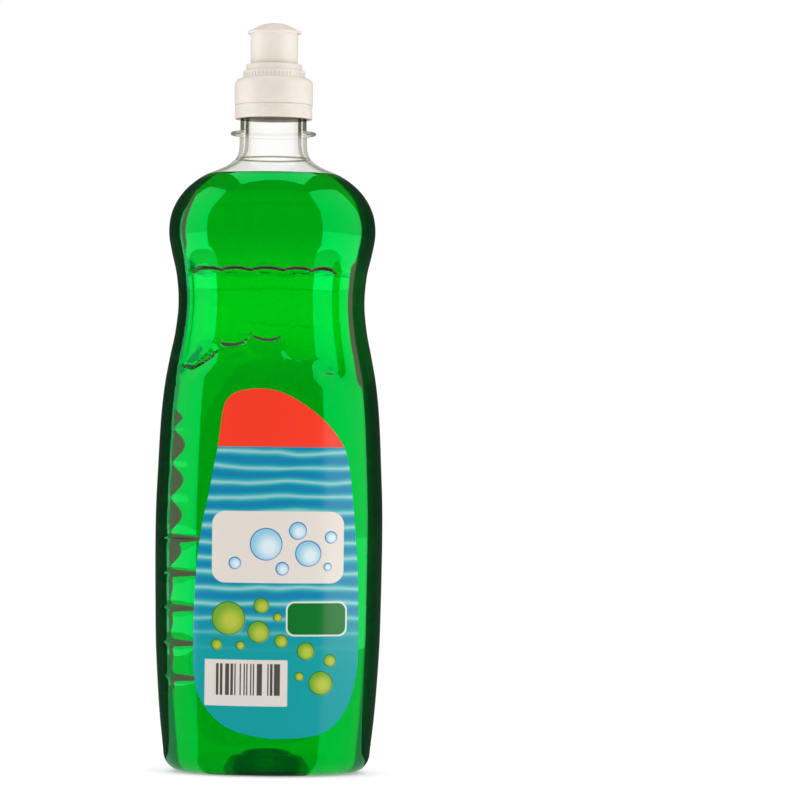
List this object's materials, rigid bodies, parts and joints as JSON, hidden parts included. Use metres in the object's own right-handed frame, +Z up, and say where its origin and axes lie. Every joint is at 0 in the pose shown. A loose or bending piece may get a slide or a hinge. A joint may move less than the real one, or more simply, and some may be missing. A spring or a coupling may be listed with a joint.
{
  "type": "dish soap bottle",
  "caption": "Tall oval clear plastic squeeze bottle filled with green dish soap, with a fluted waist, ribbed flank, film label and a screw cap with a push-pull spout.",
  "frame": {"origin": "middle of the footprint, on the surface the bottle stands on", "axes": "+Z up along the bottle's axis, -Y towards the face with the label, X across the width"},
  "size_m": [0.0876, 0.058, 0.2887],
  "materials": {
    "clear_pet": "clear gloss PET",
    "green_soap": "clear green liquid",
    "label_film": "printed gloss film",
    "cap_plastic": "warm white satin polypropylene"
  },
  "bodies": {
    "bottle": {"bottle": "clear_pet", "dish_liquid": "green_soap", "front_label": "label_film"},
    "band": {"tamper_band": "cap_plastic"},
    "cap": {"screw_cap": "cap_plastic"},
    "spout": {"spout": "cap_plastic"}
  },
  "joints": [
    {"name": "cap_turn", "type": "hinge", "parent": "bottle", "child": "band", "pos_m": [0, 0, 0.2545], "axis": [0, 0, 1], "range_deg": [0, 1080]},
    {"name": "cap_rise", "type": "slide", "parent": "band", "child": "cap", "axis": [0, 0, 1], "range_m": [0, 0.00955]},
    {"name": "spout_pull", "type": "slide", "parent": "cap", "child": "spout", "axis": [0, 0, 1], "range_m": [0, 0.0045]}
  ],
  "couplings": [
    {"joint": "cap_rise", "follows": "cap_turn", "m_per_rad": 0.00050611}
  ]
}
